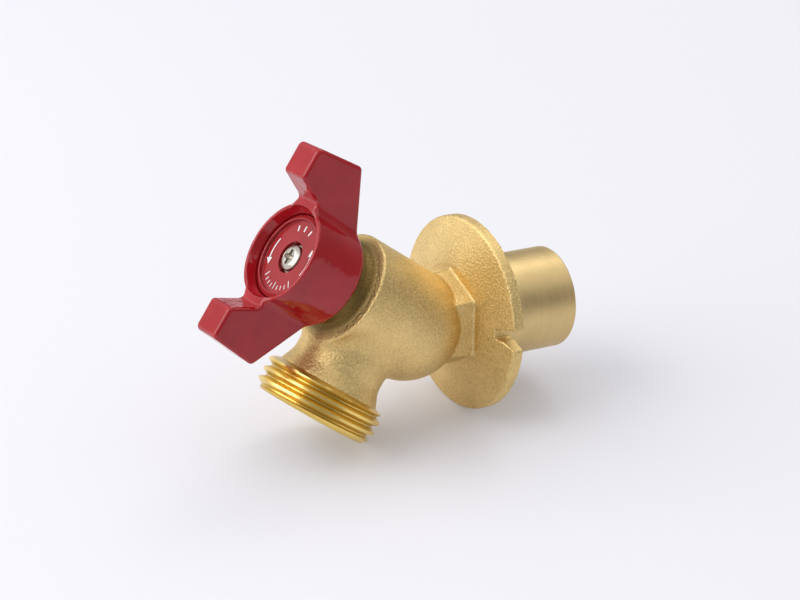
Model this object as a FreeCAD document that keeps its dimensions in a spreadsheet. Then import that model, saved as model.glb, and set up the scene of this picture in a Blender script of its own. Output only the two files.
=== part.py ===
"""Quarter-turn brass hose bib: wall flange, slanting stem, hose-thread outlet and two-winged handle.

Row frame, in millimetres: +Z up, +Y into the wall along the inlet, -Y out into the open. The origin
is the centre of the flange's wall face, on the inlet axis, and everything is symmetric about X = 0
except the quarter-turn stops and the split of the lock washer.

The stem axis leaves the bulb's centre forwards and up. A second frame, the stem frame, has its
origin at the bulb's centre, +Z out along the stem and -Y down along the outlet. Every piece that
sits on the stem or beside the ball is drawn in the stem frame and placed by its Body's Placement.
"""
import FreeCAD, Part

import math
import os
import re
import Sketcher

doc = FreeCAD.newDocument("hose_bib")

# Driving sizes, in millimetres and degrees. Heights called *_at are counted along the stem from
# the bulb's centre, and those called *_out along the outlet from the ball's centre.
SIZES = {
    # inlet barrel, for a half-inch copper tube
    "barrel_radius": 10.8,
    "barrel_length": 20.4,
    "barrel_edge": 0.6,
    "socket_radius": 8.0,
    "socket_depth": 12.7,
    "waterway_radius": 6.0,
    # wall flange, thicker towards the hexagon, with a notch on each side for a screw
    "flange_radius": 20.6,
    "flange_rim": 2.3,
    "flange_root": 4.7,
    "flange_root_radius": 11.0,
    "flange_edge": 0.5,
    "notch_start": 15.3,
    "notch_top": 1.1,
    "notch_rise": 2.0,
    "notch_floor": 1.0,
    "notch_flare": 3.0,
    # hexagon and bulb
    "hex_flats": 19.8,
    "hex_side": 12.2,
    "hex_peak": 11.0,
    "hex_drop": 0.4,
    "hex_draft": 6.8,
    "hex_reach": 12.0,
    "bulb_offset": 16.0,
    "bulb_radius": 12.0,
    # neck around the stem
    "stem_rise": 34.15,
    "shoulder_at": 18.2,
    "shoulder_round": 0.8,
    "collar_radius": 8.6,
    "collar_cove": 2.4,
    "collar_top_at": 25.4,
    # outlet branch with its 3/4-11.5 garden-hose thread
    "ball_at": 9.3,
    "branch_radius": 9.7,
    "flare_radius": 11.0,
    "flare_out": 15.6,
    "thread_out": 18.3,
    "outlet_out": 25.9,
    "thread_radius": 13.28,
    "thread_root": 11.95,
    "thread_pitch": 2.2087,
    "thread_rise": 1.1,
    "thread_edge": 1.4,
    "thread_flat": 0.28,
    "first_groove_out": 20.5,
    "groove_rise": 1.8,
    "outlet_bore": 7.3,
    # ball and seats
    "ball_radius": 7.0,
    "port_radius": 4.0,
    "slot_width": 3.0,
    "slot_floor_at": 14.3,
    "seat_bore": 4.2,
    "seat_face": 6.2,
    "seat_gap": 0.1,
    "seat_radius": 7.25,
    "rear_wall": 8.3,
    "bore_end_edge": 1.0,
    "outlet_seat_back": 7.8,
    "oring_section": 1.5,
    "retainer_bore": 4.8,
    "retainer_length": 3.8,
    "retainer_slot": 1.6,
    # stem, packing and nut
    "journal_radius": 4.5,
    "stem_radius": 3.75,
    "blade_width": 6.8,
    "blade_thickness": 2.8,
    "blade_tip_at": 14.5,
    "blade_root_at": 16.8,
    "groove_at": 17.2,
    "groove_width": 1.7,
    "groove_radius": 3.05,
    "stem_oring_section": 1.44,
    "ledge_at": 19.6,
    "washer_thickness": 0.5,
    "running_gap": 0.05,
    "stem_collar": 6.1,
    "stem_collar_top_at": 21.2,
    "packing_top_at": 22.8,
    "gland_top_at": 23.4,
    "packing_bore": 6.4,
    "nut_flats": 13.0,
    "nut_top_at": 28.0,
    "nut_bore": 3.85,
    "packing_outer": 6.35,
    "square_from_at": 28.5,
    "square_flats": 5.3,
    "stem_top_at": 30.7,
    "tapped_radius": 1.78,
    "tapped_floor_at": 22.5,
    # handle
    "skirt_bore": 9.25,
    "skirt_radius": 10.35,
    "skirt_end_at": 22.1,
    "skirt_edge": 0.7,
    "web_under_at": 28.5,
    "web_top_at": 32.0,
    "rim_at": 35.5,
    "rim_radius": 10.8,
    "rim_inner": 10.0,
    "rim_edge": 0.4,
    "dish_radius": 9.3,
    "dish_step_at": 33.7,
    "screw_recess": 3.5,
    "recess_floor_at": 31.0,
    "square_hole": 5.4,
    "wing_thickness": 7.8,
    "wing_front_at": 42.0,
    "wing_inner": 14.5,
    "wing_outer": 21.3,
    "wing_heel_at": 30.7,
    "wing_heel": 22.5,
    "wing_back_at": 23.3,
    "wing_root": 9.7,
    "wing_valley": 11.6,
    "wing_round": 0.9,
    # quarter-turn stops: one lug stands on the body's collar, two hang inside the handle's skirt
    "stop_inner": 7.75,
    "stop_span": 40.0,
    "stop_top_at": 27.6,
    "lug_under_at": 25.7,
    "lug_span": 20.0,
    "quarter_turn": 90.0,
    "stop_gap": 1.0,
    # plate, washer and screw
    "plate_radius": 9.15,
    "plate_face_at": 32.9,
    "plate_lip": 8.2,
    "plate_lip_at": 33.4,
    "plate_hole": 3.4,
    "lock_outer": 3.1,
    "lock_inner": 1.9,
    "lock_thickness": 0.7,
    "lock_split": 0.5,
    "screw_head": 2.8,
    "screw_head_edge_at": 32.9,
    "screw_head_top_at": 33.3,
    "screw_radius": 1.75,
    "screw_tip_at": 23.6,
    "recess_length": 2.9,
    "recess_width": 0.75,
    "recess_depth": 1.2,
}

sheet = doc.addObject("Spreadsheet::Sheet", "Dims")
for row, (alias, size) in enumerate(SIZES.items(), start=1):
    sheet.set("A%d" % row, alias)
    sheet.set("B%d" % row, str(size))
    sheet.setAlias("B%d" % row, alias)
doc.recompute()


def sheet_name(match):
    """A driving size's name as an expression reads it."""
    word = match.group()
    return "Dims." + word if word in SIZES else word


def bound(expression):
    """The same expression, reading its sizes from the sheet."""
    return re.sub(r"[a-z_]+", sheet_name, expression)


def number(expression):
    """What a sheet expression comes to."""
    return float(sheet.evalExpression(bound(expression)))


def new_body(label, on_stem=True):
    """An empty body in the stem frame, or in the row frame."""
    body = doc.addObject("PartDesign::Body", label)
    body.Label = label
    if on_stem:
        tilt = FreeCAD.Rotation(FreeCAD.Vector(1, 0, 0), number("90 - stem_rise"))
        body.Placement = FreeCAD.Placement(FreeCAD.Vector(0, -number("bulb_offset"), 0), tilt)
    return body


def new_sketch(body, name, plane, offset=None):
    """A sketch on one of its own body's origin planes, moved and turned by the offset."""
    sketch = body.newObject("Sketcher::SketchObject", name)
    support = [item for item in body.Origin.OriginFeatures if item.Role == plane][0]
    sketch.AttachmentSupport = [(support, "")]
    sketch.MapMode = "FlatFace"
    if offset:
        sketch.AttachmentOffset = offset
    return sketch


def outline(body, name, plane, corners, offset=None):
    """A closed straight-sided sketch whose corners are pairs of sheet expressions."""
    sketch = new_sketch(body, name, plane, offset)
    points = [FreeCAD.Vector(number(across), number(along), 0) for across, along in corners]
    for start, end in zip(points, points[1:] + points[:1]):
        sketch.addGeometry(Part.LineSegment(start, end), False)
    for index, corner in enumerate(corners):
        previous = (index - 1) % len(corners)
        sketch.addConstraint(Sketcher.Constraint("Coincident", previous, 2, index, 1))
        for direction, expression in zip(("DistanceX", "DistanceY"), corner):
            place = Sketcher.Constraint(direction, -1, 1, index, 1, number(expression))
            slot = sketch.addConstraint(place)
            sketch.setExpression("Constraints[%d]" % slot, bound(expression))
    return sketch


def circle(body, name, plane, across, along, radius, offset=None):
    """A sketch of one circle."""
    sketch = new_sketch(body, name, plane, offset)
    centre = FreeCAD.Vector(number(across), number(along), 0)
    normal = FreeCAD.Vector(0, 0, 1)
    sketch.addGeometry(Part.Circle(centre, normal, number(radius)), False)
    for direction, expression in (("DistanceX", across), ("DistanceY", along)):
        place = Sketcher.Constraint(direction, -1, 1, 0, 3, number(expression))
        slot = sketch.addConstraint(place)
        sketch.setExpression("Constraints[%d]" % slot, bound(expression))
    slot = sketch.addConstraint(Sketcher.Constraint("Radius", 0, number(radius)))
    sketch.setExpression("Constraints[%d]" % slot, bound(radius))
    return sketch


def half_disc(body, name, plane, radius, offset=None):
    """A half disc against its sketch's second axis, to be turned into a ball."""
    sketch = new_sketch(body, name, plane, offset)
    size = number(radius)
    ring = Part.Circle(FreeCAD.Vector(0, 0, 0), FreeCAD.Vector(0, 0, 1), size)
    top = FreeCAD.Vector(0, size, 0)
    sketch.addGeometry(Part.ArcOfCircle(ring, -math.pi / 2, math.pi / 2), False)
    sketch.addGeometry(Part.LineSegment(top, -top), False)
    sketch.addConstraint(Sketcher.Constraint("Coincident", 0, 3, -1, 1))
    sketch.addConstraint(Sketcher.Constraint("Coincident", 0, 2, 1, 1))
    sketch.addConstraint(Sketcher.Constraint("Coincident", 1, 2, 0, 1))
    sketch.addConstraint(Sketcher.Constraint("PointOnObject", 0, 1, -2))
    sketch.addConstraint(Sketcher.Constraint("PointOnObject", 0, 2, -2))
    slot = sketch.addConstraint(Sketcher.Constraint("Radius", 0, size))
    sketch.setExpression("Constraints[%d]" % slot, bound(radius))
    return sketch


def turned(body, sketch, axis="V_Axis", cut=False, sweep=None):
    """The sketch turned about one of its own axes: a whole turn, or a sweep centred on it."""
    kind = "PartDesign::Groove" if cut else "PartDesign::Revolution"
    feature = body.newObject(kind, sketch.Name + "_turned")
    feature.Profile = sketch
    feature.ReferenceAxis = (sketch, [axis])
    if sweep:
        feature.setExpression("Angle", bound(sweep))
        feature.Midplane = True
    else:
        feature.Angle = 360
    sketch.Visibility = False
    return feature


def extruded(body, sketch, length, cut=False, side="One side", reversed_way=False, draft="0"):
    """The sketch pushed straight out to a length, its sides leaning in by a draft in degrees."""
    kind = "PartDesign::Pocket" if cut else "PartDesign::Pad"
    feature = body.newObject(kind, sketch.Name + "_solid")
    feature.Profile = sketch
    feature.setExpression("Length", bound(length))
    feature.SideType = side
    feature.Reversed = reversed_way
    feature.setExpression("TaperAngle", "-" + bound(draft))
    sketch.Visibility = False
    return feature


def filleted(body, radius, chosen):
    """A fillet on the edges that the chooser accepts."""
    doc.recompute()
    base = body.Tip
    names = ["Edge%d" % (i + 1) for i, edge in enumerate(base.Shape.Edges) if chosen(edge)]
    feature = body.newObject("PartDesign::Fillet", body.Label + "_round_%d" % len(body.Group))
    feature.Base = (base, names)
    feature.setExpression("Radius", bound(radius))
    return feature


def lifted(height):
    """The offset that raises an XY sketch to a height along the stem."""
    return FreeCAD.Placement(FreeCAD.Vector(0, 0, number(height)), FreeCAD.Rotation())


def lifted_in_yz(height):
    """The offset that raises a YZ sketch's origin to a height along the stem."""
    return FreeCAD.Placement(FreeCAD.Vector(0, number(height), 0), FreeCAD.Rotation())


def around_stem(angle):
    """The offset that swings an XZ sketch about the stem, from +X towards +Y."""
    turn = FreeCAD.Rotation(FreeCAD.Vector(0, 1, 0), angle)
    return FreeCAD.Placement(FreeCAD.Vector(0, 0, 0), turn)


def hexagon(flats, first_angle):
    """The six corners of a hexagon, as sheet expressions."""
    radius = "%s / sqrt(3)" % flats
    angles = [first_angle + 60 * step for step in range(6)]
    return [("%s * cos(%d)" % (radius, a), "%s * sin(%d)" % (radius, a)) for a in angles]


def rectangle(left, bottom, right, top):
    """The four corners of an upright rectangle."""
    return [(left, bottom), (right, bottom), (right, top), (left, top)]


def circle_edge(edge, radius, height):
    """Whether an edge is the round one of this radius at this height up the stem axis."""
    if not isinstance(edge.Curve, Part.Circle):
        return False
    lift = edge.Curve.Center.distanceToPoint(FreeCAD.Vector(0, -number("bulb_offset"), 0))
    fits = abs(edge.Curve.Radius - number(radius)) < 0.01
    return fits and abs(lift - number(height)) < 0.01


# --- the casting -----------------------------------------------------------------------------

def in_symmetry_plane(turn, lift="0"):
    """Places a YZ sketch of the row frame: origin up the stem axis, first axis turned from up it."""
    along_y = number("-bulb_offset - %s * cos(stem_rise)" % lift)
    along_z = number("%s * sin(stem_rise)" % lift)
    rotation = FreeCAD.Rotation(FreeCAD.Vector(0, 0, 1), turn - number("stem_rise"))
    return FreeCAD.Placement(FreeCAD.Vector(along_y, along_z, 0), rotation)


def valve_body():
    """The brass casting, drawn in the row frame, with its machined bores and hose thread."""
    body = new_body("valve_body", on_stem=False)
    on_neck = in_symmetry_plane(90)
    on_outlet = in_symmetry_plane(180, "ball_at")

    neck = outline(body, "neck", "YZ_Plane", [
        ("0", "0"),
        ("bulb_radius", "0"),
        ("bulb_radius", "shoulder_at"),
        ("collar_radius", "shoulder_at"),
        ("collar_radius", "collar_top_at"),
        ("0", "collar_top_at"),
    ], on_neck)
    turned(body, neck)
    filleted(body, "shoulder_round", lambda edge: circle_edge(edge, "bulb_radius", "shoulder_at"))
    filleted(body, "collar_cove", lambda edge: circle_edge(edge, "collar_radius", "shoulder_at"))

    bulb = half_disc(body, "bulb", "YZ_Plane", "bulb_radius", on_neck)
    turned(body, bulb)

    branch = outline(body, "branch", "YZ_Plane", [
        ("0", "0"),
        ("branch_radius", "0"),
        ("branch_radius", "flare_out"),
        ("flare_radius", "thread_out"),
        ("thread_radius", "thread_out + thread_rise"),
        ("thread_radius", "outlet_out - thread_edge"),
        ("thread_radius - thread_edge", "outlet_out"),
        ("0", "outlet_out"),
    ], on_outlet)
    turned(body, branch)

    hexagon_side = outline(body, "hexagon", "XZ_Plane", [
        ("0", "hex_peak - hex_drop"),
        ("-hex_flats / 2", "hex_side / 2 - hex_drop"),
        ("-hex_flats / 2", "-hex_side / 2 - hex_drop"),
        ("0", "-hex_peak - hex_drop"),
        ("hex_flats / 2", "-hex_side / 2 - hex_drop"),
        ("hex_flats / 2", "hex_side / 2 - hex_drop"),
    ])
    extruded(body, hexagon_side, "hex_reach", draft="hex_draft")

    inlet = outline(body, "inlet", "YZ_Plane", [
        ("-flange_root", "0"),
        ("barrel_length", "0"),
        ("barrel_length", "barrel_radius - barrel_edge"),
        ("barrel_length - barrel_edge", "barrel_radius"),
        ("0", "barrel_radius"),
        ("0", "flange_radius - flange_edge"),
        ("-flange_edge", "flange_radius"),
        ("flange_edge - flange_rim", "flange_radius"),
        ("-flange_rim", "flange_radius - flange_edge"),
        ("-flange_root", "flange_root_radius"),
    ])
    turned(body, inlet, "H_Axis")

    for side, sign in (("left", "-"), ("right", "")):
        notch = outline(body, "notch_" + side, "XZ_Plane", [
            (sign + "notch_start", "-notch_floor"),
            (sign + "(flange_radius + 1)", "-notch_flare"),
            (sign + "(flange_radius + 1)", "notch_rise"),
            (sign + "notch_start", "notch_top"),
        ])
        extruded(body, notch, "flange_root", cut=True, reversed_way=True)

    stop = outline(body, "stop_lug", "YZ_Plane", rectangle(
        "stop_inner", "collar_top_at - 1", "collar_radius", "stop_top_at"), on_neck)
    turned(body, stop, sweep="stop_span")

    socket = outline(body, "socket", "YZ_Plane", [
        ("-bulb_offset", "0"),
        ("barrel_length + 1", "0"),
        ("barrel_length + 1", "socket_radius"),
        ("barrel_length - socket_depth", "socket_radius"),
        ("barrel_length - socket_depth", "waterway_radius"),
        ("-bulb_offset", "waterway_radius"),
    ])
    turned(body, socket, "H_Axis", cut=True)

    stem_way = outline(body, "stem_way", "YZ_Plane", [
        ("0", "0"),
        ("waterway_radius", "0"),
        ("waterway_radius", "ball_at"),
        ("journal_radius + running_gap", "ball_at"),
        ("journal_radius + running_gap", "ledge_at"),
        ("packing_bore", "ledge_at"),
        ("packing_bore", "collar_top_at + 1"),
        ("0", "collar_top_at + 1"),
    ], on_neck)
    turned(body, stem_way, cut=True)

    outlet_way = outline(body, "outlet_way", "YZ_Plane", [
        ("0", "-rear_wall"),
        ("outlet_bore - bore_end_edge", "-rear_wall"),
        ("outlet_bore", "bore_end_edge - rear_wall"),
        ("outlet_bore", "outlet_out + 1"),
        ("0", "outlet_out + 1"),
    ], on_outlet)
    turned(body, outlet_way, cut=True)

    groove = outline(body, "thread_groove", "YZ_Plane", [
        ("thread_root", "first_groove_out - thread_flat / 2"),
        ("thread_root + groove_rise", "first_groove_out - thread_flat / 2 - groove_rise * tan(30)"),
        ("thread_root + groove_rise", "first_groove_out + thread_flat / 2 + groove_rise * tan(30)"),
        ("thread_root", "first_groove_out + thread_flat / 2"),
    ], on_outlet)
    thread = body.newObject("PartDesign::SubtractiveHelix", "hose_thread")
    thread.Profile = groove
    thread.ReferenceAxis = (groove, ["V_Axis"])
    thread.Mode = "pitch-height-angle"
    thread.setExpression("Pitch", bound("thread_pitch"))
    thread.setExpression("Height", bound("outlet_out + 1 - first_groove_out"))
    groove.Visibility = False
    return body


# --- ball and seats --------------------------------------------------------------------------

def valve_ball():
    """A ball with an angled port: open below and, at rest, towards the outlet; a slot on top."""
    body = new_body("valve_ball")
    ball = half_disc(body, "ball", "YZ_Plane", "ball_radius", lifted_in_yz("ball_at"))
    turned(body, ball)
    below = circle(body, "inlet_port", "XY_Plane", "0", "0", "port_radius", lifted("ball_at"))
    extruded(body, below, "ball_radius + 1", cut=True)
    front = circle(body, "outlet_port", "XZ_Plane", "0", "ball_at", "port_radius")
    extruded(body, front, "ball_radius + 1", cut=True, reversed_way=True)
    slot = outline(body, "drive_slot", "YZ_Plane", rectangle(
        "-slot_width / 2", "slot_floor_at", "slot_width / 2", "ball_at + ball_radius + 1"))
    extruded(body, slot, "2 * ball_radius + 2", cut=True, side="Symmetric")
    return body


def seat(label, way, back, edge):
    """A PTFE ring beside the ball, with a cone just clear of the ball and its outer back edge cut."""
    body = new_body(label)
    cone = "ball_radius * sqrt(2) + seat_gap"
    ring = outline(body, label + "_section", "YZ_Plane", [
        (way + "(%s - seat_bore)" % cone, "seat_bore"),
        (way + back, "seat_bore"),
        (way + back, "seat_radius - %s" % edge),
        (way + "(%s - %s)" % (back, edge), "seat_radius"),
        (way + "(%s - seat_face)" % cone, "seat_radius"),
        (way + "(%s - seat_face)" % cone, "seat_face"),
    ], lifted_in_yz("ball_at"))
    turned(body, ring, "H_Axis")
    return body


def seat_oring():
    """The rubber ring between the outlet seat and its retainer."""
    body = new_body("seat_oring")
    section = circle(body, "section", "YZ_Plane", "-outlet_seat_back - oring_section / 2",
                     "seat_radius - oring_section / 2", "oring_section / 2",
                     lifted_in_yz("ball_at"))
    turned(body, section, "H_Axis")
    return body


def seat_retainer():
    """The screwed ring that holds ball and seats in, with a screwdriver slot across its face."""
    body = new_body("seat_retainer")
    near = "(outlet_seat_back + oring_section)"
    far = "(outlet_seat_back + oring_section + retainer_length)"
    ring = outline(body, "section", "YZ_Plane", rectangle(
        "-" + near, "retainer_bore", "-" + far, "seat_radius"), lifted_in_yz("ball_at"))
    turned(body, ring, "H_Axis")
    slot = outline(body, "slot", "YZ_Plane", rectangle(
        "-%s - 1" % far, "-retainer_slot / 2", "-%s + retainer_slot" % far, "retainer_slot / 2"),
        lifted_in_yz("ball_at"))
    extruded(body, slot, "4 * seat_radius", cut=True, side="Symmetric")
    return body


# --- stem, packing and nut -------------------------------------------------------------------

def valve_stem():
    """Blade, journal with a ring groove, blow-out-proof collar, shaft and square end, tapped."""
    body = new_body("valve_stem")
    collar_under = "ledge_at + washer_thickness + running_gap"
    shaft = outline(body, "shaft", "XZ_Plane", [
        ("0", "blade_root_at"),
        ("journal_radius", "blade_root_at"),
        ("journal_radius", "groove_at"),
        ("groove_radius", "groove_at"),
        ("groove_radius", "groove_at + groove_width"),
        ("journal_radius", "groove_at + groove_width"),
        ("journal_radius", collar_under),
        ("stem_collar", collar_under),
        ("stem_collar", "stem_collar_top_at"),
        ("stem_radius", "stem_collar_top_at"),
        ("stem_radius", "square_from_at"),
        ("0", "square_from_at"),
    ])
    turned(body, shaft)
    blade = outline(body, "blade", "XY_Plane", rectangle(
        "-blade_width / 2", "-blade_thickness / 2", "blade_width / 2", "blade_thickness / 2"),
        lifted("blade_tip_at"))
    extruded(body, blade, "blade_root_at - blade_tip_at")
    square = outline(body, "square", "XY_Plane", rectangle(
        "-square_flats / 2", "-square_flats / 2", "square_flats / 2", "square_flats / 2"),
        lifted("square_from_at"))
    extruded(body, square, "stem_top_at - square_from_at")
    hole = circle(body, "tapped_hole", "XY_Plane", "0", "0", "tapped_radius", lifted("stem_top_at"))
    extruded(body, hole, "stem_top_at - tapped_floor_at", cut=True)
    return body


def stem_oring():
    """The rubber ring in the stem's groove."""
    body = new_body("stem_oring")
    section = circle(body, "section", "XZ_Plane", "groove_radius + stem_oring_section / 2",
                     "groove_at + groove_width / 2", "stem_oring_section / 2")
    turned(body, section)
    return body


def flat_ring(label, inner, outer, bottom, top):
    """A plain washer around the stem."""
    body = new_body(label)
    section = outline(body, label + "_section", "XZ_Plane", rectangle(inner, bottom, outer, top))
    turned(body, section)
    return body


def packing_nut():
    """Threaded shank in the collar, hexagon above it, bore for the stem."""
    body = new_body("packing_nut")
    shank = outline(body, "shank", "XZ_Plane", rectangle(
        "0", "gland_top_at", "packing_outer", "collar_top_at"))
    turned(body, shank)
    head = outline(body, "head", "XY_Plane", hexagon("nut_flats", 0), lifted("collar_top_at"))
    extruded(body, head, "nut_top_at - collar_top_at")
    bore = circle(body, "bore", "XY_Plane", "0", "0", "nut_bore", lifted("nut_top_at"))
    extruded(body, bore, "nut_top_at - gland_top_at + 1", cut=True)
    return body


# --- handle, plate and screw -----------------------------------------------------------------

def handle():
    """A drum with a dished front and a skirt over the nut, two wings and two stop lugs inside."""
    body = new_body("handle")
    drum = outline(body, "drum", "XZ_Plane", [
        ("0", "web_under_at"),
        ("skirt_bore", "web_under_at"),
        ("skirt_bore", "skirt_end_at"),
        ("skirt_radius - skirt_edge", "skirt_end_at"),
        ("skirt_radius", "skirt_end_at + skirt_edge"),
        ("rim_radius", "rim_at - rim_edge"),
        ("rim_radius - rim_edge", "rim_at"),
        ("rim_inner", "rim_at"),
        ("dish_radius", "dish_step_at"),
        ("dish_radius", "web_top_at"),
        ("screw_recess", "web_top_at"),
        ("screw_recess", "recess_floor_at"),
        ("0", "recess_floor_at"),
    ])
    turned(body, drum)

    wing = outline(body, "wing", "YZ_Plane", [
        ("wing_root", "wing_back_at"),
        ("wing_heel", "wing_heel_at"),
        ("wing_outer", "wing_front_at"),
        ("wing_inner", "wing_front_at"),
        ("wing_valley", "rim_at"),
        ("wing_root + 0.5", "rim_at"),
    ])
    first = extruded(body, wing, "wing_thickness", side="Symmetric")
    other = body.newObject("PartDesign::Mirrored", "other_wing")
    other.Originals = [first]
    across = [item for item in body.Origin.OriginFeatures if item.Role == "XZ_Plane"][0]
    other.MirrorPlane = (across, [""])
    body.Tip = other
    filleted(body, "wing_round", across_wing)

    lug_ends = "quarter_turn + stop_span / 2 + lug_span / 2 + stop_gap"
    for name, turn in (("open_lug", "90 - stop_span / 2 - lug_span / 2 - stop_gap"),
                       ("shut_lug", "90 + " + lug_ends)):
        section = outline(body, name, "XZ_Plane", rectangle(
            "stop_inner", "lug_under_at", "skirt_bore + 0.5", "web_under_at + 0.5"),
            around_stem(number(turn)))
        turned(body, section, sweep="lug_span")

    hole = outline(body, "square_hole", "XY_Plane", rectangle(
        "-square_hole / 2", "-square_hole / 2", "square_hole / 2", "square_hole / 2"),
        lifted("recess_floor_at"))
    extruded(body, hole, "recess_floor_at - web_under_at + 1", cut=True)
    return body


def across_wing(edge):
    """Whether an edge is one of the three outer corners that run across a wing's thickness."""
    box = edge.BoundBox
    reach = min(abs(box.YMin), abs(box.YMax))
    return box.YLength < 0.01 and box.ZLength < 0.01 and reach > number("wing_inner") - 0.1


def index_plate():
    """The disc in the dish, with a raised lip around its flat face."""
    body = new_body("index_plate")
    section = outline(body, "disc", "XZ_Plane", [
        ("plate_hole", "web_top_at"),
        ("plate_radius", "web_top_at"),
        ("plate_radius", "plate_lip_at - 0.2"),
        ("plate_radius - 0.2", "plate_lip_at"),
        ("plate_lip + 0.2", "plate_lip_at"),
        ("plate_lip", "plate_face_at"),
        ("plate_hole", "plate_face_at"),
    ])
    turned(body, section)
    return body


def lock_washer():
    """A split spring washer in the screw's recess."""
    body = flat_ring("lock_washer", "lock_inner", "lock_outer", "recess_floor_at",
                     "recess_floor_at + lock_thickness")
    split = outline(body, "split", "XY_Plane", rectangle(
        "0", "-lock_split / 2", "lock_outer + 1", "lock_split / 2"),
        lifted("recess_floor_at + lock_thickness"))
    extruded(body, split, "lock_thickness", cut=True)
    return body


def handle_screw():
    """Shank in the stem's tapped hole, low rounded head, cross recess."""
    body = new_body("handle_screw")
    head_under = "recess_floor_at + lock_thickness"
    section = outline(body, "screw", "XZ_Plane", [
        ("0", "screw_tip_at"),
        ("screw_radius - 0.4", "screw_tip_at"),
        ("screw_radius", "screw_tip_at + 0.4"),
        ("screw_radius", head_under),
        ("screw_head", head_under),
        ("screw_head", "screw_head_edge_at"),
        ("screw_head - 0.5", "screw_head_top_at"),
        ("0", "screw_head_top_at"),
    ])
    turned(body, section)
    for name, across, along in (("slot", "recess_length", "recess_width"),
                                ("cross_slot", "recess_width", "recess_length")):
        recess = outline(body, name, "XY_Plane", rectangle(
            "-%s / 2" % across, "-%s / 2" % along, "%s / 2" % across, "%s / 2" % along),
            lifted("screw_head_top_at"))
        extruded(body, recess, "recess_depth", cut=True)
    return body


pieces = [
    valve_body(),
    valve_ball(),
    seat("rear_seat", "", "rear_wall", "bore_end_edge"),
    seat("outlet_seat", "-", "outlet_seat_back", "0.2"),
    seat_oring(),
    seat_retainer(),
    valve_stem(),
    stem_oring(),
    flat_ring("thrust_washer", "journal_radius + 0.1", "packing_outer", "ledge_at",
              "ledge_at + washer_thickness"),
    flat_ring("packing_ring", "stem_radius + running_gap", "packing_outer",
              "stem_collar_top_at + running_gap", "packing_top_at"),
    flat_ring("gland_ring", "nut_bore", "packing_outer", "packing_top_at", "gland_top_at"),
    packing_nut(),
    handle(),
    index_plate(),
    lock_washer(),
    handle_screw(),
]

doc.recompute()
failed = [item.Name for item in doc.Objects if {"Invalid", "Error"} & set(item.State)]
if failed:
    raise SystemExit("failed to build: " + ", ".join(failed))

os.makedirs("parts", exist_ok=True)
for piece in pieces:
    shape = piece.Shape
    if shape.isNull() or not shape.isValid():
        raise SystemExit("bad shape: " + piece.Label)
    box = shape.BoundBox
    print("%-14s %9.1f mm3  %d solid  y %.1f..%.1f  z %.1f..%.1f" % (
        piece.Label, shape.Volume, len(shape.Solids), box.YMin, box.YMax, box.ZMin, box.ZMax))
    shape.exportStep("parts/%s.step" % piece.Label)
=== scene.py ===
"""Looks of the quarter-turn brass hose bib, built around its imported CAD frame.

Lengths are in millimetres until a mesh is made; the floor, the lights and the camera are placed in
metres. The part's frame has +Z up, +Y into the wall and its origin at the centre of the flange's
wall face. The stem frame has its origin at the bulb's centre, +Z out along the stem and -Y down
along the outlet. The casting, the handle and the screw are solids described by signed distance,
blended as castings are, and meshed with a surface net.
"""

import math

import bpy
import numpy as np
from mathutils import Matrix, Vector


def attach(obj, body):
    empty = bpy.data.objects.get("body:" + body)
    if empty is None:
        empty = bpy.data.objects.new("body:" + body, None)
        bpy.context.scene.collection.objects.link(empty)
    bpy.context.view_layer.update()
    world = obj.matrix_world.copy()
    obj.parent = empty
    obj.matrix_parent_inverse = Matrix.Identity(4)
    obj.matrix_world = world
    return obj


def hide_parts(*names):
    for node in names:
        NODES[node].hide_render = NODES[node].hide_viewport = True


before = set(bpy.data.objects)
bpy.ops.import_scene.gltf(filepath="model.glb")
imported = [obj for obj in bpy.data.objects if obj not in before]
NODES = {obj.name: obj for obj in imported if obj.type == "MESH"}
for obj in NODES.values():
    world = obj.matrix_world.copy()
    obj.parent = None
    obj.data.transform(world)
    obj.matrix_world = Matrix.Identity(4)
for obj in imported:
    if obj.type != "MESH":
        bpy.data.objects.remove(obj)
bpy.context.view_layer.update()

MM = 0.001

# --- driving sizes ---------------------------------------------------------------------------

# They follow the CAD source, but for the thread, whose crests are 0.13 lower and whose start is
# steeper, and the hexagon's slope and draft, which are rounded. Heights on the neck and the handle
# are counted along the stem from the bulb's centre, and those called *_OUT along the outlet from
# the ball's centre. HEX_DRAFT is the width lost with each millimetre from the wall face.
STEM_RISE = math.radians(34.15)
BULB_OFFSET = 16.0
BULB_RADIUS = 12.0
SHOULDER_AT = 18.2
COLLAR_RADIUS = 8.6
COLLAR_TOP = 25.4
BALL_AT = 9.3
BRANCH_RADIUS = 9.7
FLARE_RADIUS = 11.0
THREAD_OUT = 18.3
OUTLET_OUT = 25.9
THREAD_RADIUS = 13.15
THREAD_ROOT = 11.95
THREAD_PITCH = 2.2087
THREAD_RISE = 0.7
THREAD_EDGE = 1.4
FIRST_GROOVE = 20.5
OUTLET_BORE = 7.3
REAR_WALL = 8.3
FLANGE_RADIUS = 20.6
FLANGE_RIM = 2.3
FLANGE_ROOT = 4.7
FLANGE_ROOT_RADIUS = 11.0
HEX_FLATS = 19.8
HEX_DRAFT = 0.238
HEX_SLOPE = math.radians(26)
HEX_DROP = 0.4
HEX_REACH = 12.0
BARREL_RADIUS = 10.8
BARREL_LENGTH = 20.4
SOCKET_RADIUS = 8.0
SOCKET_FLOOR = 7.7
WATERWAY = 6.0
JOURNAL_BORE = 4.55
LEDGE_AT = 19.6
PACKING_BORE = 6.4
DRUM_TOP = 35.5
DISH_RADIUS = 9.3
DISH_FLOOR = 32.0
HUB_RADIUS = 3.5
HUB_FLOOR = 31.0
WING_THICKNESS = 7.8
WING_TOP = 42.0
PLATE_FACE = 32.9

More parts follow.
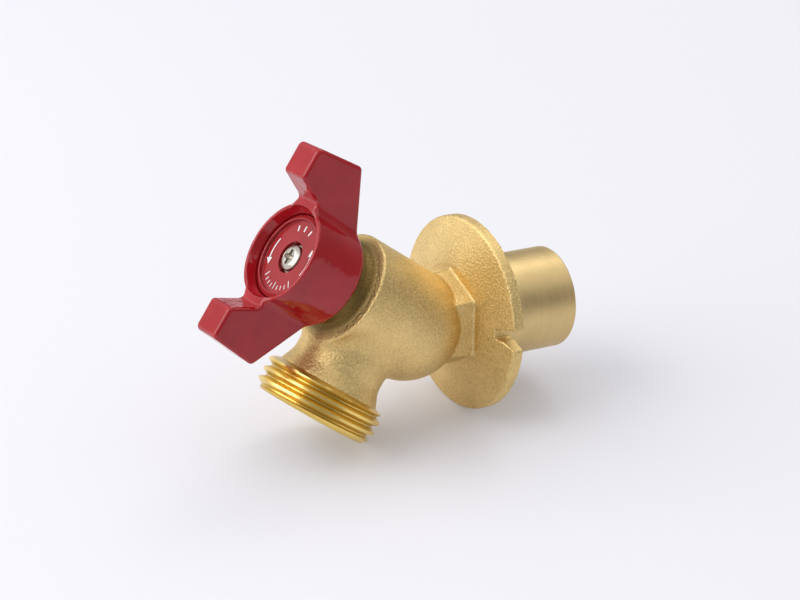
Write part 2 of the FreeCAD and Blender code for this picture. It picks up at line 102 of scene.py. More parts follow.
ACROSS_Y, ACROSS_Z = math.sin(STEM_RISE), math.cos(STEM_RISE)
STEM_Y, STEM_Z = -math.cos(STEM_RISE), math.sin(STEM_RISE)
BULB = Vector((0, -BULB_OFFSET, 0))
STEM_FRAME = Matrix.Translation(BULB) @ Matrix.Rotation(math.pi / 2 - STEM_RISE, 4, "X")
INLET_FRAME = Matrix.Rotation(-math.pi / 2, 4, "X")


# --- outlines and signed distances: millimetres, negative inside -----------------------------

def eased(*corners):
    """A closed outline of (x, y, radius) corners, each turned into an arc unless its radius is 0."""
    points = []
    for index, (x, y, radius) in enumerate(corners):
        here = Vector((x, y))
        if not radius:
            points.append((x, y))
            continue
        before = (here - Vector(corners[index - 1][:2])).normalized()
        after = (Vector(corners[(index + 1) % len(corners)][:2]) - here).normalized()
        turn = math.atan2(before.cross(after), before.dot(after))
        arm = Vector((before.y, -before.x)) * math.copysign(radius, turn)
        centre = here - before * radius * math.tan(abs(turn) / 2) - arm
        steps = max(2, round(abs(turn) / 0.4))
        for step in range(steps + 1):
            swing = Matrix.Rotation(turn * step / steps, 2)
            points.append(tuple(centre + swing @ arm))
    return points


def polygon(x, y, corners):
    """Signed distance to a closed outline."""
    nearest = np.full(np.shape(x), 1e9)
    sign = np.ones(np.shape(x))
    for (ax, ay), (bx, by) in zip(corners, corners[1:] + corners[:1]):
        ex, ey, wx, wy = bx - ax, by - ay, x - ax, y - ay
        share = np.clip((wx * ex + wy * ey) / (ex * ex + ey * ey), 0, 1)
        nearest = np.minimum(nearest, (wx - ex * share) ** 2 + (wy - ey * share) ** 2)
        above, below, left = y >= ay, y < by, ex * wy > ey * wx
        crossed = (above & below & left) | ~(above | below | left)
        sign = np.where(crossed, -sign, sign)
    return sign * np.sqrt(nearest)


def join(a, b, radius):
    """Union with a fillet of this radius in the inside corner."""
    bend = np.hypot(np.maximum(radius - a, 0), np.maximum(radius - b, 0))
    return np.maximum(radius, np.minimum(a, b)) - bend


def meet(a, b, radius):
    """Intersection with its edge rounded by this radius."""
    bend = np.hypot(np.maximum(radius + a, 0), np.maximum(radius + b, 0))
    return np.minimum(-radius, np.maximum(a, b)) + bend


def hexagon(x, y, flats):
    """Signed distance to the sides of a slightly flat hexagon with corners up and down."""
    x, y = np.abs(x), np.abs(y)
    sloping = x * math.sin(HEX_SLOPE) + y * math.cos(HEX_SLOPE)
    return meet(x - flats / 2, sloping - flats / 2, 0.35)


# --- meshes ----------------------------------------------------------------------------------

def sampled(solid, low, high, step, block=4):
    """The solid's distance on a grid, worked out node by node only in blocks near its surface."""
    counts = np.ceil((np.array(high) - low) / (step * block)).astype(int)
    axes = [low[i] + step * (np.arange(counts[i]) * block + (block - 1) / 2) for i in range(3)]
    centres = np.stack(np.meshgrid(*axes, indexing="ij"), -1).reshape(-1, 3)
    coarse = solid(*centres.T).reshape(counts)
    field = coarse.repeat(block, 0).repeat(block, 1).repeat(block, 2)
    near = np.argwhere(np.abs(coarse) < step * block * 1.6)
    local = np.stack(np.meshgrid(*[np.arange(block)] * 3, indexing="ij"), -1).reshape(-1, 3)
    nodes = (near[:, None, :] * block + local[None]).reshape(-1, 3)
    field[tuple(nodes.T)] = solid(*(np.array(low) + nodes * step).T)
    return field


def surface_net(field, low, step):
    """Vertices and quads of the zero surface: one vertex in each cell that it crosses."""
    inside = field < 0
    corners = [np.array((i, j, k)) for i in (0, 1) for j in (0, 1) for k in (0, 1)]
    size = np.array(field.shape) - 1
    count = np.zeros(size, np.int8)
    for i, j, k in corners:
        count += inside[i:size[0] + i, j:size[1] + j, k:size[2] + k]
    active = (count > 0) & (count < 8)
    cells = np.argwhere(active)
    number = np.full(active.shape, -1)
    number[active] = np.arange(len(cells))

    total = np.zeros((len(cells), 3))
    hits = np.zeros(len(cells))
    for first in corners:
        for axis in np.flatnonzero(first == 0):
            second = first.copy()
            second[axis] = 1
            a = field[tuple((cells + first).T)]
            b = field[tuple((cells + second).T)]
            cut = (a < 0) != (b < 0)
            place = np.tile(first.astype(float), (len(cells), 1))
            place[:, axis] = a / np.where(cut, a - b, 1)
            total += place * cut[:, None]
            hits += cut
    vertices = np.array(low) + step * (cells + total / hits[:, None])

    quads = []
    for axis in range(3):
        others = [i for i in range(3) if i != axis]
        shift = np.ones(3, int)
        shift[axis] = 0
        start = inside[tuple(slice(None, -1) if i == axis else slice(1, -1) for i in range(3))]
        end = inside[tuple(slice(1, None) if i == axis else slice(1, -1) for i in range(3))]
        base = np.argwhere(start != end) + shift
        ring = []
        for first, second in ((0, 0), (1, 0), (1, 1), (0, 1)):
            cell = base.copy()
            cell[:, others[0]] -= first
            cell[:, others[1]] -= second
            ring.append(number[tuple(cell.T)])
        quads.append(np.stack(ring, -1))
    return vertices, np.concatenate(quads)


def slopes(solid, points, reach=0.02):
    """The direction in which the solid's distance grows."""
    parts = []
    for axis in range(3):
        shift = np.zeros(3)
        shift[axis] = reach
        parts.append((solid(*(points + shift).T) - solid(*(points - shift).T)) / (2 * reach))
    return np.stack(parts, -1)


def facing(vertices, quads):
    """The area-weighted direction of each quad."""
    return np.cross(vertices[quads[:, 2]] - vertices[quads[:, 0]],
                    vertices[quads[:, 3]] - vertices[quads[:, 1]])


def new_piece(name, vertices, quads, normals=None, place=Matrix()):
    """A smooth object from millimetres in a frame, with its normals if they are known."""
    turn = np.array(place.to_3x3())
    vertices = (vertices @ turn.T + np.array(place.translation)) * MM
    mesh = bpy.data.meshes.new(name)
    mesh.from_pydata(vertices.tolist(), [], quads.tolist())
    mesh.polygons.foreach_set("use_smooth", [True] * len(mesh.polygons))
    if normals is None:
        mesh.set_sharp_from_angle(angle=math.radians(30))
    else:
        normals = normals @ turn.T
        normals /= np.maximum(np.linalg.norm(normals, axis=1, keepdims=True), 1e-9)
        mesh.normals_split_custom_set_from_vertices(normals.tolist())
    mesh.update()
    made = bpy.data.objects.new(name, mesh)
    bpy.context.scene.collection.objects.link(made)
    return made


def store_painted_shade(shown, depth):
    """Stores a depth, worked out in the stem frame, at each vertex, which sets how much painted
    shade the brass gets there.
    """
    places = np.empty(len(shown.data.vertices) * 3)
    shown.data.vertices.foreach_get("co", places)
    x, y, z = places.reshape(-1, 3).T / MM
    across = ACROSS_Y * (y + BULB_OFFSET) + ACROSS_Z * z
    along = STEM_Y * (y + BULB_OFFSET) + STEM_Z * z
    stored = shown.data.attributes.new("painted_shade", "FLOAT", "POINT")
    stored.data.foreach_set("value", depth(x, across, along))


def carved(name, solid, low, high, step, place=Matrix()):
    """A mesh of a signed-distance solid, its vertices drawn on to the exact surface."""
    vertices, quads = surface_net(sampled(solid, low, high, step), low, step)
    for _ in range(3):
        slope = slopes(solid, vertices)
        size = np.maximum((slope ** 2).sum(1), 0.3)
        move = np.clip(solid(*vertices.T) / size, -step / 2, step / 2)
        vertices = vertices - slope * move[:, None]
    normals = slopes(solid, vertices)
    wrong = (facing(vertices, quads) * normals[quads].sum(1)).sum(1) < 0
    quads[wrong] = quads[wrong, ::-1]
    return new_piece(name, vertices, quads, normals, place)


def turned(name, profile, place, segments=160):
    """An open outline of (radius, height) points, outside first, turned about the frame's Z axis."""
    angles = np.arange(segments) * 2 * math.pi / segments
    radius, height = np.array(profile).T
    vertices = np.stack([np.outer(radius, np.cos(angles)), np.outer(radius, np.sin(angles)),
                         np.outer(height, np.ones(segments))], -1).reshape(-1, 3)
    row, column = np.meshgrid(np.arange(len(profile) - 1), np.arange(segments), indexing="ij")
    beside = (column + 1) % segments
    quads = np.stack([row * segments + column, row * segments + beside,
                      (row + 1) * segments + beside, (row + 1) * segments + column], -1)
    quads = quads.reshape(-1, 4)
    normals = np.zeros_like(vertices)
    for corner in range(4):
        np.add.at(normals, quads[:, corner], facing(vertices, quads))
    return new_piece(name, vertices, quads, normals, place)


# --- the casting -----------------------------------------------------------------------------

NECK = eased((0, 0, 0), (BULB_RADIUS, 0, 0), (BULB_RADIUS, SHOULDER_AT, 0.6),
             (COLLAR_RADIUS, SHOULDER_AT, 2.75), (COLLAR_RADIUS, COLLAR_TOP, 0.3),
             (0, COLLAR_TOP, 0))
CASTING_END = THREAD_OUT + 0.4
BRANCH = eased((0, 0, 0), (0, BRANCH_RADIUS, 0), (15.2, BRANCH_RADIUS, 4.0),
               (THREAD_OUT, FLARE_RADIUS, 0), (CASTING_END + 1, FLARE_RADIUS, 0),
               (CASTING_END + 1, 0, 0))
FLANGE = eased((0, -1, 0), (FLANGE_RADIUS, -1, 0), (FLANGE_RADIUS, FLANGE_RIM, 0.6),
               (FLANGE_ROOT_RADIUS, FLANGE_ROOT, 0), (0, FLANGE_ROOT, 0))
NOTCH = eased((15.3, -1.0, 0.35), (17.4, -1.2, 2.0), (20.0, -2.3, 1.5), (22.0, -4.0, 0),
              (22.0, 2.05, 0), (15.3, 1.1, 0.35))
STEM_WAY = eased((0, 0, 0), (WATERWAY, 0, 0), (WATERWAY, BALL_AT, 0), (JOURNAL_BORE, BALL_AT, 0),
                 (JOURNAL_BORE, LEDGE_AT, 0), (PACKING_BORE, LEDGE_AT, 0),
                 (PACKING_BORE, COLLAR_TOP + 1.6, 0), (0, COLLAR_TOP + 1.6, 0))
OUTLET_WAY = eased((-REAR_WALL, 0, 0), (-REAR_WALL, OUTLET_BORE - 1, 0),
                   (1 - REAR_WALL, OUTLET_BORE, 0), (28.0, OUTLET_BORE, 0), (28.0, 0, 0))
STOP_RADIUS = 8.15
STOP_HALF_WIDTH = 0.45
STOP_AT = 26.4
STOP_HALF_HEIGHT = 1.2
STOP_HALF_ANGLE = math.radians(20)
BRANCH_FILLET = 1.9


def casting(x, y, z):
    """The brass casting without its barrel and thread, in the part's frame."""
    across = ACROSS_Y * (y + BULB_OFFSET) + ACROSS_Z * z
    along = STEM_Y * (y + BULB_OFFSET) + STEM_Z * z
    off_stem = np.hypot(x, across)
    off_outlet = np.hypot(x, along - BALL_AT)
    off_inlet = np.hypot(x, z)

    bulb = np.hypot(off_stem, along) - BULB_RADIUS
    neck = polygon(off_stem, along, NECK)
    branch = polygon(-across, off_outlet, BRANCH)
    hexagon_ends = np.maximum(-y - HEX_REACH, y)
    nut = meet(hexagon(x, z + HEX_DROP, HEX_FLATS + HEX_DRAFT * y), hexagon_ends, 0.3)
    flange = polygon(off_inlet, -y, FLANGE)
    flange = meet(flange, -polygon(np.abs(x), z, NOTCH), 0.2)
    solid = join(np.minimum(bulb, neck), branch, BRANCH_FILLET)
    solid = join(solid, nut, 0.35)
    solid = join(solid, flange, 0.6)

    wedge = np.abs(x) * math.cos(STOP_HALF_ANGLE) - across * math.sin(STOP_HALF_ANGLE)
    stop = np.maximum(np.abs(off_stem - STOP_RADIUS) - STOP_HALF_WIDTH,
                      np.abs(along - STOP_AT) - STOP_HALF_HEIGHT)
    solid = np.minimum(solid, np.maximum(stop, wedge))

    ways = np.minimum(polygon(off_stem, along, STEM_WAY), polygon(-across, off_outlet, OUTLET_WAY))
    ways = np.minimum(ways, np.maximum(off_inlet - WATERWAY, -y - BULB_OFFSET))
    solid = np.maximum(solid, -ways)
    return np.maximum(np.maximum(solid, y), -across - CASTING_END)


def neck_painted_shade(x, across, along):
    """How deep a place lies under the handle's skirt, from 0 at the neck's rim to 1, which sets the
    painted shade there.
    """
    inward = np.clip((11.7 - np.hypot(x, across)) / 2.2, 0, 1)
    return inward * np.clip((along - SHOULDER_AT + 1.0) / 0.5, 0, 1)


def groove_painted_shade(x, across, along):
    """How deep a place lies in the thread, from 0 on the crests to nearly 1 at the roots, which sets
    the painted shade in the grooves.
    """
    off_outlet = np.hypot(x, along - BALL_AT)
    return np.clip((THREAD_RADIUS - 0.15 - off_outlet) / (THREAD_RADIUS - THREAD_ROOT), 0, 1)


# --- the hose thread, in the stem frame ------------------------------------------------------

GROOVE_FLAT = 0.14
GROOVE_SLOPE = math.tan(math.radians(30))
GROOVE_TOP = GROOVE_FLAT + (THREAD_RADIUS - THREAD_ROOT) * GROOVE_SLOPE


def thread_radius(out, angle):
    """The outside radius at a distance out and an angle round, with the groove's run-in."""
    turn = (out - FIRST_GROOVE) / THREAD_PITCH - angle / (2 * math.pi)
    near = np.round(turn)
    aside = np.abs(turn - near) * THREAD_PITCH
    depth = THREAD_RADIUS - THREAD_ROOT - np.maximum(aside - GROOVE_FLAT, 0) / GROOVE_SLOPE
    run_in = np.clip((out - FIRST_GROOVE + THREAD_PITCH) / (THREAD_PITCH * 0.35), 0, 1)
    share = np.where(near >= 0, 1, np.where(near == -1, run_in, 0))
    radius = THREAD_RADIUS - np.maximum(depth, 0) * share
    slant = (THREAD_RADIUS - FLARE_RADIUS) / THREAD_RISE
    radius = np.minimum(radius, FLARE_RADIUS + (out - THREAD_OUT) * slant)
    return np.minimum(radius, THREAD_RADIUS - THREAD_EDGE + OUTLET_OUT - out)


def hose_thread(columns=288):
    """A grid sheared along the helix over crests and grooves, the end face and the bore."""
    angle = np.arange(columns) * 2 * math.pi / columns
    land = THREAD_PITCH - 2 * GROOVE_TOP
    offsets = [-GROOVE_TOP, -GROOVE_TOP * 0.55, -GROOVE_FLAT, GROOVE_FLAT, GROOVE_TOP * 0.55]
    offsets += [GROOVE_TOP, GROOVE_TOP + land / 3, GROOVE_TOP + land * 2 / 3]
    period = len(offsets)
    starts = FIRST_GROOVE + THREAD_PITCH * np.arange(-3, 5)
    line = (starts[:, None] + np.array(offsets)).ravel()
    out = line[:, None] + THREAD_PITCH * angle / (2 * math.pi)
    out = np.clip(out, THREAD_OUT, OUTLET_OUT)
    radius = thread_radius(out, angle)

    ends = [(OUTLET_OUT, thread_radius(np.full(columns, OUTLET_OUT), angle)),
            (OUTLET_OUT, OUTLET_BORE + 0.5), (OUTLET_OUT - 0.5, OUTLET_BORE),
            (THREAD_OUT, OUTLET_BORE)]
    start = [(THREAD_OUT, FLARE_RADIUS - 0.5), (THREAD_OUT, FLARE_RADIUS)]
    count = len(line)
    for height, size in ends + start:
        out = np.vstack([out, np.full(columns, height)])
        radius = np.vstack([radius, np.broadcast_to(size, columns)])
    places = [radius * np.sin(-angle), -out, BALL_AT + radius * np.cos(angle)]
    vertices = np.stack(places, -1).reshape(-1, 3)

    quads = []
    rows = list(range(count - period)) + list(range(count, count + 3)) + [count + 4]
    for row in rows:
        here = np.arange(columns)
        beside = (here + 1) % columns
        wrap = np.where((here == columns - 1) & (row < count), period, 0)
        quads.append(np.stack([row * columns + here, (row + 1) * columns + here,
                               (row + 1 + wrap) * columns + beside,
                               (row + wrap) * columns + beside], -1))
    # Where the grid is clipped to the thread's ends, quads shrink to a line: those go.
    quads = np.concatenate(quads)
    spread = np.ptp(vertices[quads], axis=1)
    return vertices, quads[(spread > 1e-6).sum(1) > 1]


# --- the handle and its screw, in the stem frame ---------------------------------------------

SKIRT_FOOT = 22.1
SKIRT_BORE = 9.25
SKIRT_ROOF = 28.5
DRUM = eased((0, SKIRT_FOOT, 0), (10.35, SKIRT_FOOT, 0.9), (10.8, DRUM_TOP, 0.35),
             (0, DRUM_TOP, 0))
DISH = eased((0, HUB_FLOOR, 0), (HUB_RADIUS, HUB_FLOOR, 0.2), (HUB_RADIUS, DISH_FLOOR, 0.2),
             (DISH_RADIUS, DISH_FLOOR, 0.3), (DISH_RADIUS, 33.7, 0), (10.0, DRUM_TOP, 0.2),
             (10.15, 37.0, 0), (0, 37.0, 0))
SKIRT = eased((0, 20.0, 0), (SKIRT_BORE, 20.0, 0), (SKIRT_BORE, SKIRT_ROOF, 0.6),
              (0, SKIRT_ROOF, 0))
WING = eased((6.0, 21.2, 0), (22.5, 30.7, 1.0), (21.3, WING_TOP, 1.2), (14.5, WING_TOP, 0.9),
             (11.7, 35.8, 1.6), (8.0, DRUM_TOP, 0))
LUGS = (math.radians(59), math.radians(211))
LUG_HALF_ANGLE = math.radians(10)
LUG_RADIUS = 8.6
LUG_HALF_WIDTH = 0.85
LUG_AT = 27.3
LUG_HALF_HEIGHT = 1.6
SQUARE_HALF = 2.7
SQUARE_AT = 29.5
SQUARE_HALF_HEIGHT = 2.0

SCREW_TOP = 33.3
SCREW_TIP = 23.6
SHANK_RADIUS = 1.75
HEAD_RADIUS = 2.8
HEAD_FOOT = 31.7
SCREW = eased((0, SCREW_TIP, 0), (1.35, SCREW_TIP, 0), (SHANK_RADIUS, 24.0, 0),
              (SHANK_RADIUS, HEAD_FOOT, 0), (HEAD_RADIUS, HEAD_FOOT, 0.2),
              (HEAD_RADIUS, 32.75, 0.5), (1.9, SCREW_TOP, 0.8), (0, SCREW_TOP, 0))
CROSS_DEPTH = 1.2
CROSS_REACH = 1.6
CROSS_HALF_WIDTH = 0.42
CROSS_EYE = 0.75


def handle(x, y, z):
    """A dished drum with a skirt, two wings and the two stop lugs inside."""
    off_stem = np.hypot(x, y)
    drum = polygon(off_stem, z, DRUM)
    wings = meet(polygon(np.abs(y), z, WING), np.abs(x) - WING_THICKNESS / 2, 0.75)
    solid = join(drum, wings, 1.4)
    solid = meet(solid, -polygon(off_stem, z, DISH), 0.2)
    solid = np.maximum(solid, -polygon(off_stem, z, SKIRT))
    for middle in LUGS:
        turn = x * math.cos(middle) + y * math.sin(middle)
        side = np.abs(y * math.cos(middle) - x * math.sin(middle))
        lug = side * math.cos(LUG_HALF_ANGLE) - turn * math.sin(LUG_HALF_ANGLE)
        lug = np.maximum(lug, np.abs(off_stem - LUG_RADIUS) - LUG_HALF_WIDTH)
        solid = np.minimum(solid, np.maximum(lug, np.abs(z - LUG_AT) - LUG_HALF_HEIGHT))
    square = np.maximum(np.maximum(np.abs(x), np.abs(y)) - SQUARE_HALF,
                        np.abs(z - SQUARE_AT) - SQUARE_HALF_HEIGHT)
    return np.maximum(solid, -square)


def screw(x, y, z):
    """A low rounded head with a tapering cross-shaped socket, on its shank."""
    solid = polygon(np.hypot(x, y), z, SCREW)
    deep = np.clip(SCREW_TOP - z, 0, 1.3)
    x, y = np.abs(x), np.abs(y)
    long, short = np.maximum(x, y), np.minimum(x, y)
    arms = np.maximum(long - (CROSS_REACH - 0.45 * deep), short - (CROSS_HALF_WIDTH - 0.1 * deep))
    eye = np.hypot(x, y) - (CROSS_EYE - 0.2 * deep)
    cross = np.maximum(join(arms, eye, 0.25), SCREW_TOP - CROSS_DEPTH - z)
    return meet(solid, -cross, 0.08)


def index_marks():
    """White marks on the plate: ticks below and above, and a curved arrow at each side."""
    vertices, quads = [], []

    def strip(*corners):
        """Adds a quad with corners at (radius, angle in degrees), just off the plate's face."""
        quads.append([len(vertices) + i for i in range(4)])
        vertices.extend((r * math.cos(math.radians(a)), r * math.sin(math.radians(a)),
                         PLATE_FACE + 0.02) for r, a in corners)

    for step in range(9):
        angle = 230 + 10 * step
        inner = 6.3 if step % 4 else 5.7
        strip((inner, angle - 1.0), (7.2, angle - 0.8), (7.2, angle + 0.8), (inner, angle + 1.0))
    for angle in (70, 90, 110):
        strip((5.7, angle - 2), (6.9, angle - 1.6), (6.9, angle + 1.6), (5.7, angle + 2))
    for middle in (0, 180):
        for step in range(8):
            first = middle + 5 * step - 22
            strip((6.35, first), (6.7, first), (6.7, first + 5), (6.35, first + 5))
        tip = middle + 30
        back = middle + 17
        strip((5.7, back), (6.52, tip), (7.35, back), (6.52, back))
    return np.array(vertices), np.array(quads)


# --- materials -------------------------------------------------------------------------------

def new_material(name, **values):
    """A principled material whose even values are set on the shader's own sockets."""
    material = bpy.data.materials.new(name)
    material.use_nodes = True
    shader = material.node_tree.nodes["Principled BSDF"]
    for socket, value in values.items():
        shader.inputs[socket.replace("_", " ")].default_value = value
    return material


def node(owner, kind, inputs=None, **settings):
    """A new node of a material or world, with its settings and its input values or links."""
    made = owner.node_tree.nodes.new(kind)
    for setting, value in settings.items():
        setattr(made, setting, value)
    for name, value in (inputs or {}).items():
        socket = [item for item in made.inputs if item.name == name and item.enabled][0]
        if isinstance(value, bpy.types.NodeSocket):
            owner.node_tree.links.new(value, socket)
        else:
            socket.default_value = value
    return made


def result(mixed):
    """The output of a Mix node that its data type uses."""
    return [item for item in mixed.outputs if item.enabled][0]


def noise(material, scale, detail=2.0, squeeze=(1, 1, 1), turn=(0, 0, 0)):
    """Noise in cycles per metre over the object, squeezed along the axes of a turned frame."""
    place = node(material, "ShaderNodeTexCoord")
    mapping = node(material, "ShaderNodeMapping", {"Vector": place.outputs["Object"],
                                                   "Rotation": turn, "Scale": squeeze},
                   vector_type="TEXTURE")
    made = node(material, "ShaderNodeTexNoise", {"Vector": mapping.outputs["Vector"],
                                                 "Scale": scale, "Detail": detail})
    return made.outputs["Fac"]


def colour_ramp(owner, amount, *stops):
    """A colour that runs through (position, colour) stops as the amount does."""
    ramp = node(owner, "ShaderNodeValToRGB", {"Fac": amount})
    for element, (position, colour) in zip(ramp.color_ramp.elements, stops):
        element.position = position
        element.color = (*colour, 1)
    return ramp.outputs["Color"]


def vary_colour(material, amount, dark, light):
    """The base colour runs between two colours as the amount does."""
    shader = material.node_tree.nodes["Principled BSDF"]
    colour = colour_ramp(material, amount, (0.3, dark), (0.7, light))
    material.node_tree.links.new(colour, shader.inputs["Base Color"])


def paint_shade(material, colour):
    """Painted shade: the base colour turns to this darker one where the stored depth is great."""
    shader = material.node_tree.nodes["Principled BSDF"]
    painted_shade = node(material, "ShaderNodeAttribute", attribute_name="painted_shade").outputs["Fac"]
    clean = shader.inputs["Base Color"].links[0].from_socket
    dulled = node(material, "ShaderNodeMix", {"Factor": painted_shade, "A": clean, "B": (*colour, 1)},
                  data_type="RGBA")
    material.node_tree.links.new(result(dulled), shader.inputs["Base Color"])


def vary_roughness(material, amount, low, high):
    """The roughness runs between two values as the amount does."""
    spread = node(material, "ShaderNodeMapRange", {"Value": amount, "From Min": 0.3,
                                                   "From Max": 0.7, "To Min": low, "To Max": high})
    shader = material.node_tree.nodes["Principled BSDF"]
    material.node_tree.links.new(spread.outputs["Result"], shader.inputs["Roughness"])


def bumps(material, layers):
    """Fine relief: (height, distance in metres, strength) layers, each on top of the one before."""
    normal = None
    for height, distance, strength in layers:
        inputs = {"Height": height, "Distance": distance, "Strength": strength}
        if normal:
            inputs["Normal"] = normal
        normal = node(material, "ShaderNodeBump", inputs).outputs["Normal"]
    shader = material.node_tree.nodes["Principled BSDF"]
    material.node_tree.links.new(normal, shader.inputs["Normal"])
    if shader.inputs["Coat Weight"].default_value:
        material.node_tree.links.new(normal, shader.inputs["Coat Normal"])


def as_cast_brass():
    """Blasted casting: a fine bright grain over a slightly uneven matt gold, with painted shade on
    the neck under the handle's skirt.
    """
    made = new_material("as_cast_brass", Metallic=1.0)
    patches = noise(made, 110, 3.0)
    grain = noise(made, 2300, 1.5)
    mixed = node(made, "ShaderNodeMix", {"Factor": 0.6, "A": patches, "B": grain})
    vary_colour(made, result(mixed), (0.575, 0.415, 0.165), (0.93, 0.70, 0.315))
    # Painted shade on the neck, darkest under the handle's skirt.
    paint_shade(made, (0.20, 0.13, 0.04))
    vary_roughness(made, grain, 0.42, 0.58)
    bumps(made, [(noise(made, 420, 2.0), 0.00015, 0.4), (grain, 0.00017, 0.9)])
    return made


def machined_brass(name, colour, roughness, turn=(0, 0, 0), strength=0.25):
    """Turned metal: fine tool lines run round the turned frame's Y axis."""
    made = new_material(name, Metallic=1.0)
    lines = noise(made, 60, 3.0, (1, 1 / 60, 1), turn)
    dark = tuple(part * 0.8 for part in colour)
    mixed = node(made, "ShaderNodeMix", {"Factor": 0.5, "A": noise(made, 160, 2.0), "B": lines})
    vary_colour(made, result(mixed), dark, colour)
    vary_roughness(made, lines, roughness * 0.85, roughness * 1.15)
    bumps(made, [(lines, 0.00003, strength), (noise(made, 1400, 2.0), 0.00006, 0.5)])
    return made


def enamel():
    """Thick glossy crimson paint that softens the casting under it."""
    made = new_material("red_enamel_paint", Roughness=0.5, Coat_Weight=1.0, Coat_Roughness=0.06,
                        Specular_IOR_Level=0.0)
    vary_colour(made, noise(made, 140, 2.0), (0.33, 0.006, 0.010), (0.42, 0.010, 0.016))
    bumps(made, [(noise(made, 260, 2.5), 0.0004, 0.45), (noise(made, 1500, 2.0), 0.00003, 0.3)])
    return made


def plain(name, dark, light, metallic, roughness, scale, **values):
    """A simple finish with a little cloud in its colour and a little unevenness."""
    made = new_material(name, Metallic=metallic, **values)
    cloud = noise(made, scale, 2.0)
    vary_colour(made, cloud, dark, light)
    vary_roughness(made, cloud, roughness * 0.9, roughness * 1.1)
    bumps(made, [(noise(made, scale * 8, 2.0), 0.00002, 0.2)])
    return made


def dress(shown, material):
    """Gives an object one material."""
    shown.data.materials.clear()
    shown.data.materials.append(material)


# --- the pieces ------------------------------------------------------------------------------

STEP = 0.36
TO_OUTLET = (math.pi / 2 - STEM_RISE, 0, 0)

cast_brass = as_cast_brass()
barrel_brass = machined_brass("satin_turned_brass", (0.78, 0.58, 0.27), 0.41)
thread_brass = machined_brass("cut_thread_brass", (1.0, 0.74, 0.24), 0.30, TO_OUTLET, 0.8)
# Painted shade in the thread's grooves, darkest at the roots.
paint_shade(thread_brass, (0.66, 0.46, 0.11))
red = enamel()
red_plate = plain("red_plate_print", (0.29, 0.010, 0.014), (0.36, 0.013, 0.018), 0.0, 0.35, 200,
                  Coat_Weight=0.8, Coat_Roughness=0.08, Specular_IOR_Level=0.1)
white_print = plain("white_print", (0.78, 0.76, 0.76), (0.86, 0.84, 0.84), 0.0, 0.5, 400)
nickel = plain("nickel_steel", (0.50, 0.47, 0.41), (0.60, 0.57, 0.50), 1.0, 0.30, 500)
chrome = plain("bright_chrome", (0.62, 0.62, 0.63), (0.70, 0.70, 0.71), 1.0, 0.10, 300)
ptfe = plain("white_ptfe", (0.80, 0.79, 0.76), (0.86, 0.85, 0.83), 0.0, 0.5, 300)
rubber = plain("black_rubber", (0.012, 0.012, 0.013), (0.022, 0.022, 0.023), 0.0, 0.6, 500)
inner_brass = plain("plain_turned_brass", (0.66, 0.45, 0.18), (0.74, 0.52, 0.22), 1.0, 0.28, 300)

BARREL = eased((BARREL_RADIUS, -0.3, 0), (BARREL_RADIUS, BARREL_LENGTH, 0.45),
               (SOCKET_RADIUS, BARREL_LENGTH, 0.35), (SOCKET_RADIUS, SOCKET_FLOOR, 0.3),
               (WATERWAY, SOCKET_FLOOR, 0.3), (WATERWAY, -0.3, 0))

PLATE_RADIUS = 9.1
PLATE_HOLE = 3.4
PLATE = eased((PLATE_RADIUS, DISH_FLOOR, 0), (PLATE_RADIUS, 33.3, 0.15), (8.0, 33.9, 0.25),
              (7.9, PLATE_FACE, 0.15), (PLATE_HOLE, PLATE_FACE, 0.1), (PLATE_HOLE, DISH_FLOOR, 0))

pieces = {}
pieces["casting"] = carved("casting", casting, (-21.3, -45.0, -21.3), (21.3, 0.7, 24.0), STEP)
# Stores the painted shade on the neck under the handle's skirt.
store_painted_shade(pieces["casting"], neck_painted_shade)
pieces["inlet_barrel"] = turned("inlet_barrel", BARREL, INLET_FRAME)
pieces["hose_thread"] = new_piece("hose_thread", *hose_thread(), place=STEM_FRAME)
# Stores the painted shade in the thread's grooves.
store_painted_shade(pieces["hose_thread"], groove_painted_shade)
pieces["handle_casting"] = carved("handle_casting", handle, (-12.0, -23.0, 21.0),
                                  (12.0, 23.0, 42.5), STEP * 0.8, STEM_FRAME)
pieces["cross_screw"] = carved("cross_screw", screw, (-3.1, -3.1, 23.2), (3.1, 3.1, 33.6),
                               0.13, STEM_FRAME)
pieces["pressed_plate"] = turned("pressed_plate", PLATE, STEM_FRAME)
pieces["index_marks"] = new_piece("index_marks", *index_marks(), place=STEM_FRAME)

for name, material, body, shown_for, slot in (
        ("casting", cast_brass, "body", "valve_body", "cast_brass"),
        ("inlet_barrel", barrel_brass, "body", "valve_body", "turned_brass"),
        ("hose_thread", thread_brass, "body", "valve_body", "turned_brass"),
        ("handle_casting", red, "handle_group", "handle", "red_enamel"),
        ("cross_screw", nickel, "handle_group", "handle_screw", "screw_steel"),
        ("pressed_plate", red_plate, "handle_group", "index_plate", "red_plate"),
        ("index_marks", white_print, "handle_group", None, "red_plate")):
    dress(pieces[name], material)
    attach(pieces[name], body)
    if shown_for:
        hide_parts(shown_for)

for name, material in (
        ("valve_ball", chrome), ("rear_seat", ptfe), ("outlet_seat", ptfe), ("seat_oring", rubber),
        ("seat_retainer", inner_brass), ("valve_stem", inner_brass), ("stem_oring", rubber),
        ("thrust_washer", ptfe), ("packing_ring", ptfe), ("gland_ring", inner_brass),
        ("packing_nut", inner_brass), ("lock_washer", nickel)):
    dress(NODES[name], material)


# --- floor, light and camera -----------------------------------------------------------------

FLOOR_NORMAL = Vector((0.147, -0.115, 0.983)).normalized()
FLOOR_DROP = 20.45 * MM


def on_floor(name, size):
    """A square plane under the flange's rim and the outlet's rim."""
    mesh = bpy.data.meshes.new(name)
    half = size / 2
    mesh.from_pydata([(-half, -half, 0), (half, -half, 0), (half, half, 0), (-half, half, 0)],
                     [], [(0, 1, 2, 3)])
    made = bpy.data.objects.new(name, mesh)
    made.rotation_mode = "QUATERNION"
    made.rotation_quaternion = FLOOR_NORMAL.to_track_quat("Z", "Y")
    made.location = -FLOOR_NORMAL * FLOOR_DROP
    bpy.context.scene.collection.objects.link(made)
    return made


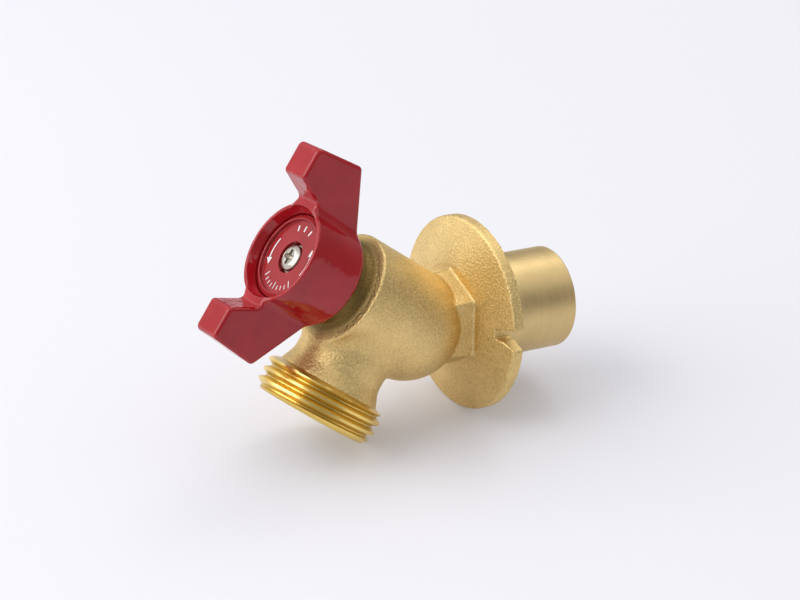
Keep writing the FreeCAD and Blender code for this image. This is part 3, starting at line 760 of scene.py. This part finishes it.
def soft_light(name, place, target, size, watts, colour=(1, 1, 1)):
    """A square area light that looks at a target."""
    data = bpy.data.lights.new(name, "AREA")
    data.size = size
    data.energy = watts
    data.color = colour
    lamp = bpy.data.objects.new(name, data)
    lamp.location = place
    lamp.rotation_mode = "QUATERNION"
    lamp.rotation_quaternion = (Vector(target) - Vector(place)).to_track_quat("-Z", "Y")
    bpy.context.scene.collection.objects.link(lamp)


floor = on_floor("floor", 4.0)
floor_paint = new_material("pale_floor", Roughness=0.6, Specular_IOR_Level=0.2,
                           Emission_Color=(0.97, 0.96, 1.0, 1), Emission_Strength=0.16)
vary_colour(floor_paint, noise(floor_paint, 3, 1.0), (0.635, 0.635, 0.67), (0.655, 0.655, 0.685))
dress(floor, floor_paint)

MIDDLE = (0, -0.012, 0)
soft_light("overhead", (0.15, 0.20, 0.80), MIDDLE, 1.3, 1.9, (1.0, 0.99, 0.97))
soft_light("back_top", (-0.14, 0.34, 0.82), MIDDLE, 0.35, 0.8, (1.0, 0.99, 0.97))
soft_light("front_box", (-0.20, -0.85, 0.54), MIDDLE, 1.0, 8.6)
soft_light("left_box", (-0.75, -0.46, 0.36), MIDDLE, 0.9, 1.1)

world = bpy.data.worlds.new("studio")
world.use_nodes = True
bpy.context.scene.world = world
sky_place = node(world, "ShaderNodeTexCoord").outputs["Generated"]
sky_height = node(world, "ShaderNodeSeparateXYZ", {"Vector": sky_place}).outputs["Z"]
sky = colour_ramp(world, sky_height, (0.30, (0.28, 0.28, 0.29)), (0.75, (0.68, 0.68, 0.71)))
world.node_tree.links.new(sky, world.node_tree.nodes["Background"].inputs["Color"])

CAMERA_AZIMUTH = math.radians(-32.837)
CAMERA_HEIGHT = math.radians(18.51)
CAMERA_ROLL = math.radians(1.112)
CAMERA_DISTANCE = 0.525
CAMERA_TARGET = Vector((-0.00826, -0.01169, 0.00185))

camera_data = bpy.data.cameras.new("camera")
camera_data.sensor_width = 36
camera_data.lens = 112.5
camera_data.clip_start = 0.01
camera = bpy.data.objects.new("camera", camera_data)
camera.matrix_world = (Matrix.Translation(CAMERA_TARGET)
                       @ Matrix.Rotation(CAMERA_AZIMUTH + math.pi / 2, 4, "Z")
                       @ Matrix.Rotation(math.pi / 2 - CAMERA_HEIGHT, 4, "X")
                       @ Matrix.Rotation(CAMERA_ROLL, 4, "Z")
                       @ Matrix.Translation((0, 0, CAMERA_DISTANCE)))
bpy.context.scene.collection.objects.link(camera)
bpy.context.scene.camera = camera
bpy.context.scene.view_settings.view_transform = "Standard"
